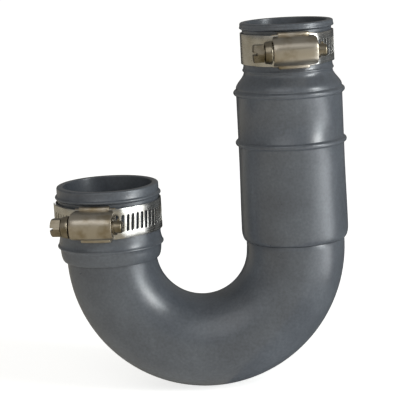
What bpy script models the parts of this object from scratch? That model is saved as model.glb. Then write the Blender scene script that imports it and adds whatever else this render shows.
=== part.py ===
"""A flexible J-bend waste trap: a soft PVC bend with a sleeve and a collar bonded to its ends,
and a worm-drive clamp on each mouth.

Metres, +Z up. The origin is the centre of the inlet's mouth, and +Z is the inlet leg's axis.
The outlet leg stands beside it towards -X, and the clamp screws face -Y.
"""

import math

import bmesh
import bpy
from mathutils import Matrix, Vector

# ---- The trap as a whole ----
LEG_SPACING = 0.0886  # between the axes of the two legs
BEND_DROP = 0.1072  # from the inlet's mouth down to where the bend starts
OUTLET_RISE = 0.0342  # from there up to the outlet's mouth

# ---- Inlet end: the neck that a 38.1 mm tailpiece goes into ----
INLET = {
    "bore": 0.01905,
    "neck_wall": 0.00195,
    "rim_proud": 0.0010,
    "rim_to_bead": 0.0025,
    "bead_proud": 0.0012,
    "bead_half": 0.0006,
    "lower_bead_extra": 0.0009,
    "lower_bead_proud": 0.0006,
    "lower_bead_half": 0.0006,
}
# ---- Outlet end: the collar that a 42.2 mm pipe goes into ----
OUTLET = {
    "bore": 0.0212,
    "neck_wall": 0.0030,
    "rim_proud": 0.00015,
    "rim_to_bead": 0.0050,
    "bead_proud": 0.0011,
    "bead_half": 0.0008,
    "lower_bead_extra": 0.0042,
    "lower_bead_proud": 0.0012,
    "lower_bead_half": 0.0009,
}
LIP_INNER_ROUND = 0.0005
LIP_OUTER_ROUND = 0.0008

# ---- Inlet sleeve below its neck ----
SLEEVE_STEP = 0.00305  # the sleeve's bore is this much wider than the neck's
SLEEVE_WALL = 0.0030
SLEEVE_FLARE = 0.0004  # how much wider the sleeve's foot is than its top
FLARE_HEIGHT = 0.0360
SHOULDER_HEIGHT = 0.0076
RING_PROUD = 0.0013
RING_HALF = 0.0013
RING_DROPS = (0.0329, 0.0567)  # cutting rings, from the inlet's mouth
FOOT_ROUND_HEIGHT = 0.0052
FOOT_ROUND_DEPTH = 0.0019
SLEEVE_FOOT_RISE = 0.0033  # sleeve's foot above the bend's ends

# ---- Outlet collar below its neck ----
COLLAR_FOOT_DROP = 0.0019  # collar's foot below the bend's ends
COLLAR_FOOT_WALL = 0.0005
COLLAR_OVERLAP = 0.0116  # how far the bend's end goes into the collar
SOCKET_EASE = 0.0003  # more room at the socket's foot, where the bend is still turning

# ---- Bend ----
BEND_DIP = 0.0451  # how far its centre line dips below its two ends
BEND_INLET_STEP = 0.0014  # the bend is this much wider than the sleeve's bore
BEND_OUTLET_STEP = 0.0002  # and than the collar's bore at its other end
BEND_WALL = 0.0035
SPIGOT_LENGTH = 0.0170
JOINT_GAP = 0.0003  # between bonded pieces, where the cement is

# ---- Clamp: band, saddle, housing and screw, the same on both ends ----
BAND_WIDTH = 0.0143
BAND_THICKNESS = 0.0006
BAND_GAP = 0.00042  # from the rubber to the band
SLOT_PITCH = 0.00285
SLOT_OPENING = 0.0014
SLOT_HEIGHT = 0.0080
LOOP_SLOTS = 26
TONGUE_SIDE_GAP = 0.00025
SADDLE_SHEET = 0.0006
SADDLE_LENGTH = 0.0190
SADDLE_FLANGE = 0.0011
HOUSING_SHEET = 0.0007
HOUSING_LENGTH = 0.0203
TAB_LENGTH = 0.0142
TAB_SIDE_GAP = 0.00065  # from the band's edge to the tab that wraps it
ARCH_FULLNESS = 0.72  # 1 is half an ellipse, and less is squarer
ARCH_SIDE_ROOM = 0.0023  # from the thread's crest to the foot of the arch, on each side
LAYER_GAP = 0.0003  # between the layers inside the housing
SEAT_GAP = 0.0004  # from the tabs to the beads on each side of the clamp
TURNS_BACK = 1.0  # how far the clamp loosens from rest, in turns of the screw
CUT_INSIDE = 0.0035  # where the band is cut, from the housing's end

WORM_RADIUS = 0.0038
WORM_ROOT = 0.0029
WORM_GAP = 0.00035  # from the thread's crest to the band
CROWN_GAP = 0.0006  # from the thread's crest to the top of the housing's arch
THREAD_CREST = 0.0007
THREAD_BASE = 0.0014
HEX_FLATS = 0.00794
HEX_LENGTH = 0.0047
DRIVE_SLOT_WIDTH = 0.0012
DRIVE_SLOT_DEPTH = 0.0016
NECK_LENGTH = 0.0004
NECK_RADIUS = 0.0033
COLLAR_RADIUS = 0.0053
COLLAR_LENGTH = 0.0034
COLLAR_GAP = 0.0006  # from the screw's collar to the housing's end
TIP_REACH = 0.0043  # how far the screw's tip stands out of the housing
TIP_ROUND = 0.0008
THREAD_PAST = 0.0031  # how far the thread runs past the housing
COLLAR_TAPER = 0.0005  # how much narrower the screw's collar is beside the head

# ---- Where each housing sits: degrees round the leg from -Y, positive towards +X ----
INLET_CLAMP_TURN = 4.2
OUTLET_CLAMP_TURN = -12.1
INLET_TAIL_REACH = 54.0  # degrees from the housing's middle to the tip of the band's free end
OUTLET_TAIL_REACH = 82.0

# ---- How finely round things are faceted ----
RUBBER_SEGMENTS = 36
BEND_STEPS = 18
SHOULDER_STEPS = 6
BAND_STEP = 7.0  # degrees
RAMP_STEP = 4.0
RAMP_ANGLE = 16.0
SCREW_SEGMENTS = 16
THREAD_STEPS = 12


# ---- Sizes that follow from those above ----
BEND_RADIUS = LEG_SPACING / 2
BEND_OUTLET_RADIUS = OUTLET["bore"] + BEND_OUTLET_STEP
BEND_Z = -BEND_DROP
OUTLET_MOUTH_Z = BEND_Z + OUTLET_RISE
SLEEVE_BORE = INLET["bore"] + SLEEVE_STEP
SLEEVE_RADIUS = SLEEVE_BORE + SLEEVE_WALL
SLEEVE_FOOT_Z = BEND_Z + SLEEVE_FOOT_RISE
BEND_INLET_RADIUS = SLEEVE_BORE + BEND_INLET_STEP
COLLAR_FOOT_Z = BEND_Z - COLLAR_FOOT_DROP
COLLAR_SOCKET = BEND_OUTLET_RADIUS + JOINT_GAP + SOCKET_EASE
TAB_REACH = TAB_SIDE_GAP + HOUSING_SHEET  # beyond the band's edge

TAIL_LEVEL = SADDLE_SHEET + 2 * LAYER_GAP + 1.5 * BAND_THICKNESS
TONGUE_LEVEL = SADDLE_SHEET + LAYER_GAP + BAND_THICKNESS / 2
SADDLE_FLANGE_LEVEL = 1.5 * SADDLE_SHEET + LAYER_GAP
LIP_LEVEL = SADDLE_SHEET - HOUSING_SHEET / 2
FLANGE_LEVEL = TAIL_LEVEL + BAND_THICKNESS / 2 + LAYER_GAP + HOUSING_SHEET / 2
ARCH_HALF_WIDTH = WORM_RADIUS + ARCH_SIDE_ROOM
WORM_LEVEL = TAIL_LEVEL + BAND_THICKNESS / 2 + WORM_GAP + WORM_RADIUS
CROWN_LEVEL = WORM_LEVEL + WORM_RADIUS + CROWN_GAP + HOUSING_SHEET / 2
SADDLE_WALL_Z = BAND_WIDTH / 2 + 0.5 * SADDLE_SHEET - SADDLE_FLANGE


def neck_radius(end):
    return end["bore"] + end["neck_wall"]


def band_top(end):
    """How far the band's upper edge is below the mouth."""
    return end["rim_to_bead"] + end["bead_half"] + SEAT_GAP + TAB_REACH


def lower_bead(end):
    """How far the middle of the lower bead is below the mouth."""
    clear = TAB_REACH + SEAT_GAP + end["lower_bead_extra"]
    return band_top(end) + BAND_WIDTH + clear + end["lower_bead_half"]


# ---- Materials and objects ----
def make_material(name, colour, roughness, metallic):
    material = bpy.data.materials.new(name)
    material.use_nodes = True
    shader = material.node_tree.nodes["Principled BSDF"]
    shader.inputs["Base Color"].default_value = (*colour, 1.0)
    shader.inputs["Roughness"].default_value = roughness
    shader.inputs["Metallic"].default_value = metallic
    return material


def add_object(name, mesh, material, parent=None):
    mesh.materials.clear()
    mesh.materials.append(material)
    mesh.shade_smooth()
    mesh.set_sharp_from_angle(angle=math.radians(35))
    piece = bpy.data.objects.new(name, mesh)
    bpy.context.scene.collection.objects.link(piece)
    piece.parent = parent
    return piece


def add_empty(name, location, turn):
    empty = bpy.data.objects.new(name, None)
    empty.location = location
    empty.rotation_euler.z = math.radians(turn)
    bpy.context.scene.collection.objects.link(empty)
    return empty


def mesh_from(bm, name):
    mesh = bpy.data.meshes.new(name)
    bm.to_mesh(mesh)
    bm.free()
    return mesh


def give_thickness(piece, thickness):
    solidify = piece.modifiers.new("sheet", "SOLIDIFY")
    solidify.thickness = thickness
    solidify.offset = 0.0
    solidify.use_even_offset = True


# ---- Outlines of turned pieces: (radius, height) points ----
def arc(centre, half_sizes, start, end, steps):
    """Points on an ellipse's arc. Angles are in degrees, from the outward radius upwards."""
    points = []
    for i in range(steps + 1):
        angle = math.radians(start + (end - start) * i / steps)
        across = centre[0] + half_sizes[0] * math.cos(angle)
        points.append((across, centre[1] + half_sizes[1] * math.sin(angle)))
    return points


def bead(radius, height, proud, half):
    """A half-round ring on a wall, walked downwards."""
    return arc((radius, height), (proud, half), 90, -90, 4)


def clamped_end(end, mouth_z):
    """The outside of a mouth, from its lip down to below the lower bead."""
    rim = neck_radius(end) + end["rim_proud"]
    neck = neck_radius(end)
    bead_z = mouth_z - end["rim_to_bead"]
    bead_foot = bead_z - end["bead_half"]
    lower_z = mouth_z - lower_bead(end)
    inner = (end["bore"] + LIP_INNER_ROUND, mouth_z - LIP_INNER_ROUND)
    outer = (rim - LIP_OUTER_ROUND, mouth_z - LIP_OUTER_ROUND)
    points = arc(inner, (-LIP_INNER_ROUND, LIP_INNER_ROUND), 0, 90, 2)
    points += arc(outer, (LIP_OUTER_ROUND, LIP_OUTER_ROUND), 90, 0, 3)
    points += arc((rim, bead_z), (end["bead_proud"] - end["rim_proud"], end["bead_half"]), 90, 0, 2)
    points += arc((neck, bead_z), (end["bead_proud"], end["bead_half"]), -30, -90, 2)
    points += [(neck, bead_foot - SEAT_GAP / 2)]
    points += bead(neck, lower_z, end["lower_bead_proud"], end["lower_bead_half"])
    return points


def turned_mesh(name, outline):
    """The solid that a closed outline sweeps in one turn about Z."""
    bm = bmesh.new()
    corners = [bm.verts.new((radius, 0.0, height)) for radius, height in outline]
    edges = [bm.edges.new((corners[i - 1], corners[i])) for i in range(len(corners))]
    bmesh.ops.spin(
        bm,
        geom=corners + edges,
        cent=(0, 0, 0),
        axis=(0, 0, 1),
        angle=math.tau,
        steps=RUBBER_SEGMENTS,
        use_merge=True,
    )
    bmesh.ops.recalc_face_normals(bm, faces=bm.faces)
    return mesh_from(bm, name)


def sleeve_outline():
    neck = neck_radius(INLET)
    shoulder_top = -lower_bead(INLET) - INLET["lower_bead_half"] - SEAT_GAP
    shoulder_foot = shoulder_top - SHOULDER_HEIGHT
    foot_radius = SLEEVE_RADIUS + SLEEVE_FLARE
    round_top = SLEEVE_FOOT_Z + FOOT_ROUND_HEIGHT
    outline = clamped_end(INLET, 0.0)
    for i in range(1, SHOULDER_STEPS + 1):
        share = i / SHOULDER_STEPS
        radius = neck + (SLEEVE_RADIUS - neck) * ease(share)
        outline += [(radius, shoulder_top - SHOULDER_HEIGHT * share)]
    for drop in RING_DROPS:
        outline += bead(SLEEVE_RADIUS, -drop, RING_PROUD, RING_HALF)
    outline += [(SLEEVE_RADIUS, round_top + FLARE_HEIGHT)]
    outline += arc(
        (foot_radius - FOOT_ROUND_DEPTH, round_top), (FOOT_ROUND_DEPTH, FOOT_ROUND_HEIGHT), 0, -90, 4
    )
    outline += [(SLEEVE_BORE, SLEEVE_FOOT_Z)]
    outline += [(SLEEVE_BORE, shoulder_foot)]
    inside = (INLET["bore"], shoulder_foot)
    outline += arc(inside, (SLEEVE_BORE - INLET["bore"], SHOULDER_HEIGHT), 30, 90, 3)
    return outline


def collar_outline():
    lower_foot = OUTLET_MOUTH_Z - lower_bead(OUTLET) - OUTLET["lower_bead_half"]
    foot_radius = COLLAR_SOCKET + COLLAR_FOOT_WALL
    stop_z = COLLAR_FOOT_Z + COLLAR_OVERLAP + JOINT_GAP
    round_top = lower_foot - SEAT_GAP
    outline = clamped_end(OUTLET, OUTLET_MOUTH_Z)
    outline += arc(
        (foot_radius, round_top),
        (neck_radius(OUTLET) - foot_radius, round_top - COLLAR_FOOT_Z),
        0,
        -90,
        5,
    )
    outline += [(COLLAR_SOCKET, COLLAR_FOOT_Z), (COLLAR_SOCKET, stop_z), (OUTLET["bore"], stop_z)]
    return outline


# ---- Bend ----
def sweep_mesh(name, stations):
    """The solid between rings put at the stations in turn, the last joined to the first."""
    bm = bmesh.new()
    bmesh.ops.create_circle(bm, segments=RUBBER_SEGMENTS, radius=1.0)
    verts, edges = bm.verts[:], bm.edges[:]
    place = ring_place(*stations[0])
    bmesh.ops.transform(bm, matrix=place, verts=verts)
    for station in stations[1:] + stations[:1]:
        grown = bmesh.ops.extrude_edge_only(bm, edges=edges)["geom"]
        verts = [part for part in grown if isinstance(part, bmesh.types.BMVert)]
        edges = [part for part in grown if isinstance(part, bmesh.types.BMEdge)]
        edges = [edge for edge in edges if set(edge.verts) <= set(verts)]
        move = ring_place(*station) @ place.inverted()
        bmesh.ops.transform(bm, matrix=move, verts=verts)
        place = ring_place(*station)
    bmesh.ops.remove_doubles(bm, verts=bm.verts, dist=1e-5)
    bmesh.ops.recalc_face_normals(bm, faces=bm.faces)
    return mesh_from(bm, name)


def ring_place(centre, tilt, radius):
    """Where a ring round the bend's path goes; tilt is how far the path has turned, in radians."""
    return Matrix.Translation(centre) @ Matrix.Rotation(tilt, 4, "Y") @ Matrix.Scale(radius, 4)


def bend_stations(inset):
    """(centre, tilt, radius) along the curve, from the inlet's side to the outlet's."""
    stations = []
    for i in range(BEND_STEPS + 1):
        share = i / BEND_STEPS
        angle = math.pi * share
        place = Vector((BEND_RADIUS * (math.cos(angle) - 1), 0, BEND_Z - BEND_DIP * math.sin(angle)))
        tilt = math.atan2(BEND_RADIUS * math.sin(angle), BEND_DIP * math.cos(angle))
        radius = BEND_INLET_RADIUS + (BEND_OUTLET_RADIUS - BEND_INLET_RADIUS) * share
        stations.append((place, tilt, radius - inset))
    return stations


def straight(x, height, radius):
    """One station on a leg. The outlet's leg is reached after half a turn."""
    return (Vector((x, 0, height)), 0.0 if x == 0 else math.pi, radius)


def bend_mesh():
    spigot_radius = SLEEVE_BORE - JOINT_GAP
    step_z = SLEEVE_FOOT_Z - JOINT_GAP
    spigot_z = step_z + SPIGOT_LENGTH
    end_z = COLLAR_FOOT_Z + COLLAR_OVERLAP
    outside = [
        straight(0, spigot_z, spigot_radius),
        straight(0, step_z, spigot_radius),
        straight(0, step_z, BEND_INLET_RADIUS),
    ]
    outside += bend_stations(0.0)
    outside += [straight(-LEG_SPACING, end_z, BEND_OUTLET_RADIUS)]
    inside = [straight(0, spigot_z, BEND_INLET_RADIUS - BEND_WALL)]
    inside += bend_stations(BEND_WALL)
    inside += [straight(-LEG_SPACING, end_z, BEND_OUTLET_RADIUS - BEND_WALL)]
    return sweep_mesh("trap_bend", outside + inside[::-1])


# ---- Sheet pieces of a clamp ----
# A clamp is made about its leg's axis with the housing at -Y. A level is how far a layer is
# outside the loop's inner face, and an angle is in degrees from -Y, positive towards the screw's tip.
def loop_radius(end):
    return neck_radius(end) + BAND_GAP


def on_circle(radius, angle, height):
    turn = math.radians(angle)
    return Vector((radius * math.sin(turn), -radius * math.cos(turn), height))


def outward(radius, along):
    """How far a circle is from the leg's axis, at a distance along the screw from its middle."""
    return math.sqrt(radius**2 - along**2)


def angle_of(length, radius):
    return math.degrees(length / radius)


def spread(start, end, step):
    """Angles from start to end, no more than step apart."""
    count = max(1, math.ceil(abs(end - start) / step))
    return [start + (end - start) * i / count for i in range(count + 1)]


def sheet(columns, rows, place, is_open):
    """A grid of columns by rows, each corner put by place(column, row), less its open faces."""
    bm = bmesh.new()
    across, up = len(columns) - 1, len(rows) - 1
    bmesh.ops.create_grid(bm, x_segments=across, y_segments=up, size=1.0)
    cell = {}
    for face in bm.faces:
        middle = face.calc_center_median()
        column = math.floor((middle.x + 1) / 2 * across)
        cell[face] = (column, math.floor((middle.y + 1) / 2 * up))
    opened = [face for face, (column, row) in cell.items() if is_open(column, row)]
    for vert in bm.verts:
        column = round((vert.co.x + 1) / 2 * across)
        vert.co = place(columns[column], rows[round((vert.co.y + 1) / 2 * up)])
    bmesh.ops.delete(bm, geom=opened, context="FACES")
    bmesh.ops.recalc_face_normals(bm, faces=bm.faces)
    return bm


def slotted(start, slot_start, count, radius):
    """Angles along a strip from start to the end of its last slot, and which columns are slots."""
    pitch, opening = angle_of(SLOT_PITCH, radius), angle_of(SLOT_OPENING, radius)
    angles = spread(start, slot_start, BAND_STEP)
    slots = set()
    for i in range(count):
        slots.add(len(angles) - 1)
        begin = slot_start - i * pitch
        angles += [begin - opening, begin - pitch]
    return angles, slots


def ease(share):
    share = min(1.0, max(0.0, share))
    return share * share * (3 - 2 * share)


def strip_mesh(name, angles, slots, radius_at, half_width_at):
    rows = (-1, -SLOT_HEIGHT / BAND_WIDTH, SLOT_HEIGHT / BAND_WIDTH, 1)

    def place(angle, row):
        height = row * (half_width_at(angle) if abs(row) == 1 else BAND_WIDTH / 2)
        return on_circle(radius_at(angle), angle, height)

    return mesh_from(
        sheet(angles, rows, place, lambda column, row: column in slots and row == 1), name
    )


def loop_path(end):
    """The band's loop: a narrow tongue on the saddle, round the leg, and up over the saddle again."""
    base = loop_radius(end) + BAND_THICKNESS / 2
    saddle_end = angle_of(SADDLE_LENGTH / 2, loop_radius(end)) + 1.5
    tongue_rise = TONGUE_LEVEL - BAND_THICKNESS / 2
    entry_rise = TAIL_LEVEL - BAND_THICKNESS / 2
    entry_start = saddle_end + RAMP_ANGLE + 6.0

    def radius_at(angle):
        if angle > -180:
            return base + tongue_rise * (1 - ease((-angle - saddle_end) / RAMP_ANGLE))
        back = angle + 360
        return base + entry_rise * ease((entry_start - back) / (entry_start - saddle_end))

    return radius_at, saddle_end, entry_start


def band_mesh(name, end):
    radius_at, saddle_end, entry_start = loop_path(end)
    radius = loop_radius(end) + TAIL_LEVEL
    tongue_start = angle_of(HOUSING_LENGTH / 2 - CUT_INSIDE, radius)
    cut = angle_of(HOUSING_LENGTH / 2 - CUT_INSIDE, radius) - 360
    pitch = angle_of(SLOT_PITCH, radius)
    slot_start = cut + 0.5 * pitch + LOOP_SLOTS * pitch
    angles = spread(tongue_start, -saddle_end, BAND_STEP)
    angles += spread(-saddle_end, -saddle_end - RAMP_ANGLE, RAMP_STEP)[1:]
    rest, slots = slotted(angles[-1], slot_start, LOOP_SLOTS, radius)
    slots = {column + len(angles) - 1 for column in slots}
    angles += rest[1:] + [cut]
    tongue = SADDLE_WALL_Z - SADDLE_SHEET / 2 - TONGUE_SIDE_GAP

    def half_width_at(angle):
        return tongue + (BAND_WIDTH / 2 - tongue) * ease((-angle - saddle_end) / 5.0)

    return strip_mesh(name, angles, slots, radius_at, half_width_at)


def tail_mesh(name, end, reach):
    """The band's free end, from its cut inside the housing to its rounded tip."""
    loop_at, saddle_end, _ = loop_path(end)
    radius = loop_radius(end) + TAIL_LEVEL
    pitch = angle_of(SLOT_PITCH, radius)
    backlash = angle_of(TURNS_BACK * SLOT_PITCH + JOINT_GAP, radius)
    start = angle_of(HOUSING_LENGTH / 2 - CUT_INSIDE, radius) - backlash
    drop_start = saddle_end + backlash + 1.0
    drop = TAIL_LEVEL - BAND_THICKNESS * 1.5 - LAYER_GAP
    tip = angle_of(BAND_WIDTH * 0.25, radius)
    count = int((reach - 2 * tip + start) / pitch)
    angles, slots = slotted(start, start - 0.3 * pitch, count, radius)
    angles += [-reach + tip, -reach + 0.3 * tip, -reach]

    def radius_at(angle):
        return radius - drop * ease((-angle - drop_start) / RAMP_ANGLE)

    def half_width_at(angle):
        share = max(0.0, 1 - (angle + reach) / tip)
        return BAND_WIDTH / 2 * (1 - 0.35 * share**2)

    return strip_mesh(name, angles, slots, radius_at, half_width_at)


def saddle_mesh(name, end):
    """The plate under the band, with a raised flange along each edge for the housing's lips."""
    base = loop_radius(end)
    half = angle_of(SADDLE_LENGTH / 2, base)
    edge = SADDLE_WALL_Z + SADDLE_FLANGE
    low, high = SADDLE_SHEET / 2, SADDLE_FLANGE_LEVEL
    rows = [(-edge, high), (-SADDLE_WALL_Z, high), (-SADDLE_WALL_Z, low)]
    rows += [(-height, level) for height, level in rows[::-1]]
    place = lambda angle, row: on_circle(base + row[1], angle, row[0])
    return mesh_from(sheet(spread(-half, half, BAND_STEP), rows, place, lambda column, row: False), name)


def housing_mesh(name, end):
    """An arch over the worm, with tabs that wrap the band and the saddle. Its base follows the loop."""
    base = loop_radius(end)
    wall_z = BAND_WIDTH / 2 + TAB_SIDE_GAP + HOUSING_SHEET / 2
    lip_z = SADDLE_WALL_Z + SADDLE_SHEET / 2 + JOINT_GAP
    tab = [(lip_z, LIP_LEVEL, 0.0), (wall_z, LIP_LEVEL, 0.0), (wall_z, FLANGE_LEVEL, 0.0)]
    rows = list(tab)
    for across, lift in arc((0, 0), (1, 1), 0, 180, 12):
        height = math.copysign(abs(across) ** ARCH_FULLNESS, across) * ARCH_HALF_WIDTH
        rows.append((height, FLANGE_LEVEL, max(0.0, lift) ** ARCH_FULLNESS))
    rows += [(-height, level, lift) for height, level, lift in tab[::-1]]
    half, tab_half = HOUSING_LENGTH / 2, TAB_LENGTH / 2
    columns = [-half] + spread(-tab_half, tab_half, 0.0036) + [half]

    def place(along, row):
        height, level, lift = row
        foot = outward(base + level, along)
        return Vector((along, -(foot + (base + CROWN_LEVEL - foot) * lift), height))

    def is_open(column, row):
        at_end = column in (0, len(columns) - 2)
        return at_end and (row < len(tab) or row >= len(rows) - 1 - len(tab))

    return mesh_from(sheet(columns, rows, place, is_open), name)


# ---- Screw ----
def evaluated_mesh(piece, name):
    """The piece's mesh with its modifiers applied."""
    bpy.context.view_layer.update()
    graph = bpy.context.evaluated_depsgraph_get()
    mesh = bpy.data.meshes.new_from_object(piece.evaluated_get(graph))
    mesh.name = name
    return mesh


def tool(name, bm):
    bmesh.ops.recalc_face_normals(bm, faces=bm.faces)
    helper = bpy.data.objects.new(name, mesh_from(bm, name))
    bpy.context.scene.collection.objects.link(helper)
    return helper


def screw_core():
    """The screw's collar, shank and tip, turned about X, with the head's neck."""
    half = HOUSING_LENGTH / 2
    collar_end = -half - COLLAR_GAP
    collar_start = collar_end - COLLAR_LENGTH
    head_foot = collar_start - NECK_LENGTH
    tip = half + TIP_REACH
    outline = [(0.0, head_foot - HEX_LENGTH / 3), (NECK_RADIUS, head_foot - HEX_LENGTH / 3)]
    outline += [(NECK_RADIUS, collar_start), (COLLAR_RADIUS - COLLAR_TAPER, collar_start)]
    outline += [(COLLAR_RADIUS, collar_end - COLLAR_LENGTH / 3), (COLLAR_RADIUS, collar_end - 0.0003)]
    outline += [(COLLAR_RADIUS - 0.0003, collar_end), (WORM_ROOT, collar_end)]
    outline += arc((WORM_ROOT - TIP_ROUND, tip - TIP_ROUND), (TIP_ROUND, TIP_ROUND), 0, 90, 3)
    outline += [(0.0, tip)]
    bm = bmesh.new()
    corners = [bm.verts.new((along, 0.0, radius)) for radius, along in outline]
    edges = [bm.edges.new(corners[i : i + 2]) for i in range(len(corners) - 1)]
    bmesh.ops.spin(
        bm,
        geom=corners + edges,
        cent=(0, 0, 0),
        axis=(1, 0, 0),
        angle=math.tau,
        steps=SCREW_SEGMENTS,
        use_merge=True,
    )
    bmesh.ops.remove_doubles(bm, verts=bm.verts, dist=1e-6)
    return tool("screw_core", bm)


def screw_thread():
    """The worm's right-handed ridge, its base sunk into the shank."""
    turns = int((HOUSING_LENGTH - THREAD_BASE) / SLOT_PITCH)
    sunk = 0.0004
    start = HOUSING_LENGTH / 2 + THREAD_PAST - THREAD_BASE / 2 - turns * SLOT_PITCH
    outline = [
        (-THREAD_BASE / 2, WORM_ROOT - sunk),
        (-THREAD_CREST / 2, WORM_RADIUS),
        (THREAD_CREST / 2, WORM_RADIUS),
        (THREAD_BASE / 2, WORM_ROOT - sunk),
    ]
    bm = bmesh.new()
    corners = [bm.verts.new((start + along, 0.0, radius)) for along, radius in outline]
    section = bm.faces.new(corners)
    steps = turns * THREAD_STEPS
    bmesh.ops.spin(
        bm,
        geom=[section],
        cent=(0, 0, 0),
        axis=(1, 0, 0),
        dvec=(SLOT_PITCH / THREAD_STEPS, 0, 0),
        angle=math.tau * turns,
        steps=steps,
        use_merge=False,
    )
    return tool("screw_thread", bm)


def screw_head():
    """A hexagon with its outer corners turned off."""
    half = HOUSING_LENGTH / 2
    foot = -half - COLLAR_GAP - COLLAR_LENGTH - NECK_LENGTH
    corner = HEX_FLATS / math.sqrt(3)
    place = Matrix.Translation((foot - HEX_LENGTH / 2, 0, 0)) @ Matrix.Rotation(math.pi / 2, 4, "Y")
    bm = bmesh.new()
    bmesh.ops.create_cone(
        bm,
        cap_ends=True,
        segments=6,
        radius1=corner,
        radius2=corner,
        depth=HEX_LENGTH,
        matrix=place,
    )
    return tool("screw_head", bm)


def drive_slot():
    half = HOUSING_LENGTH / 2
    end = -half - COLLAR_GAP - COLLAR_LENGTH - NECK_LENGTH - HEX_LENGTH
    bm = bmesh.new()
    size = (2 * DRIVE_SLOT_DEPTH, 2 * HEX_FLATS, DRIVE_SLOT_WIDTH)
    place = Matrix.Translation((end, 0, 0)) @ Matrix.Diagonal((*size, 1))
    bmesh.ops.create_cube(bm, size=1.0, matrix=place)
    return tool("drive_slot", bm)


def screw_mesh():
    core = screw_core()
    helpers = [(screw_thread(), "UNION"), (screw_head(), "UNION"), (drive_slot(), "DIFFERENCE")]
    for helper, operation in helpers:
        boolean = core.modifiers.new(helper.name, "BOOLEAN")
        boolean.operation = operation
        boolean.object = helper
    mesh = evaluated_mesh(core, "clamp_screw")
    for helper in [core] + [helper for helper, _ in helpers]:
        bpy.data.objects.remove(helper)
    return mesh


# ---- Assembly ----
def add_clamp(prefix, end, axis_x, mouth_z, turn, tail_reach, screw, materials):
    height = mouth_z - band_top(end) - BAND_WIDTH / 2
    frame = add_empty(prefix + "_frame", (axis_x, 0, height), turn)
    band = add_object(prefix + "_band", band_mesh(prefix + "_band", end), materials["band"], frame)
    give_thickness(band, BAND_THICKNESS)
    tail = tail_mesh(prefix + "_band_tail", end, tail_reach)
    tail = add_object(prefix + "_band_tail", tail, materials["band"], frame)
    give_thickness(tail, BAND_THICKNESS)
    saddle = saddle_mesh(prefix + "_saddle", end)
    saddle = add_object(prefix + "_saddle", saddle, materials["housing"], frame)
    give_thickness(saddle, SADDLE_SHEET)
    housing = housing_mesh(prefix + "_housing", end)
    housing = add_object(prefix + "_housing", housing, materials["housing"], frame)
    give_thickness(housing, HOUSING_SHEET)
    turned = add_object(prefix + "_screw", screw, materials["screw"], frame)
    turned.location.y = -(loop_radius(end) + WORM_LEVEL)


def main():
    for old in list(bpy.data.objects):
        bpy.data.objects.remove(old)
    rubber = make_material("soft_pvc", (0.095, 0.105, 0.115), 0.45, 0.0)
    metals = {
        "band": make_material("band_steel", (0.62, 0.62, 0.60), 0.25, 1.0),
        "housing": make_material("housing_steel", (0.55, 0.53, 0.48), 0.35, 1.0),
        "screw": make_material("screw_steel", (0.58, 0.55, 0.48), 0.30, 1.0),
    }
    add_object("trap_bend", bend_mesh(), rubber)
    add_object("inlet_sleeve", turned_mesh("inlet_sleeve", sleeve_outline()), rubber)
    collar = add_object("outlet_collar", turned_mesh("outlet_collar", collar_outline()), rubber)
    collar.location.x = -LEG_SPACING
    screw = screw_mesh()
    add_clamp("inlet_clamp", INLET, 0, 0, INLET_CLAMP_TURN, INLET_TAIL_REACH, screw, metals)
    add_clamp(
        "outlet_clamp",
        OUTLET,
        -LEG_SPACING,
        OUTLET_MOUTH_Z,
        OUTLET_CLAMP_TURN,
        OUTLET_TAIL_REACH,
        screw,
        metals,
    )


main()
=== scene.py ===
import math

import bmesh
import bpy
from mathutils import Matrix, Vector


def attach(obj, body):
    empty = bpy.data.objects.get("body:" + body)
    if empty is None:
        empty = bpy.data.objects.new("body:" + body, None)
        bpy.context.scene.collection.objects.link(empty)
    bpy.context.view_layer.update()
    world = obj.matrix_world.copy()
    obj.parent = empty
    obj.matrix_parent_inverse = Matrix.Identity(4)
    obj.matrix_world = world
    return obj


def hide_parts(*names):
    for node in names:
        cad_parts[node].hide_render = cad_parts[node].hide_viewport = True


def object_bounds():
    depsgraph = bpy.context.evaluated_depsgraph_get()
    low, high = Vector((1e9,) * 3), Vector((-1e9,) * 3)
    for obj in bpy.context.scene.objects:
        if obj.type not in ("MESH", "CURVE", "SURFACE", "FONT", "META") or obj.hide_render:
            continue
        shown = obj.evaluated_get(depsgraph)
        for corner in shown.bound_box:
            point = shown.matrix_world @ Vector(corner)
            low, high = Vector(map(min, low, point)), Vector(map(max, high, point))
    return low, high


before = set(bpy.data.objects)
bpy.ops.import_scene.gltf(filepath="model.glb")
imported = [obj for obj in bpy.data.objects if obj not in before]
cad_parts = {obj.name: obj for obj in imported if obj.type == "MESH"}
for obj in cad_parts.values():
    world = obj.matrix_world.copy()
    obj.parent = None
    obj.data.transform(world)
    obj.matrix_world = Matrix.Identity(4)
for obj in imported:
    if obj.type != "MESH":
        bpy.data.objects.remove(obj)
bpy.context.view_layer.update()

# All lengths are in metres and turns in degrees. The inlet's mouth is at the origin and its leg
# runs down along Z.

# what both legs share with the bend between them
trap = {
    "legSpacing": 0.0886,
    "bendDrop": 0.1072,  # inlet's mouth down to where the bend starts
    "outletRise": 0.0342,  # and from there up to the outlet's mouth
    "gap": 0.0003,  # between pieces that fit together
}
bendRadius = trap["legSpacing"] / 2
bendZ = -trap["bendDrop"]
outletMouthZ = bendZ + trap["outletRise"]


# colours are written as sRGB, the way a colour picker shows them
def linearColour(hexColour):
    channels = [int(hexColour[i : i + 2], 16) / 255 for i in (1, 3, 5)]
    linear = [c / 12.92 if c <= 0.04045 else ((c + 0.055) / 1.055) ** 2.4 for c in channels]
    return (*linear, 1.0)


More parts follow.
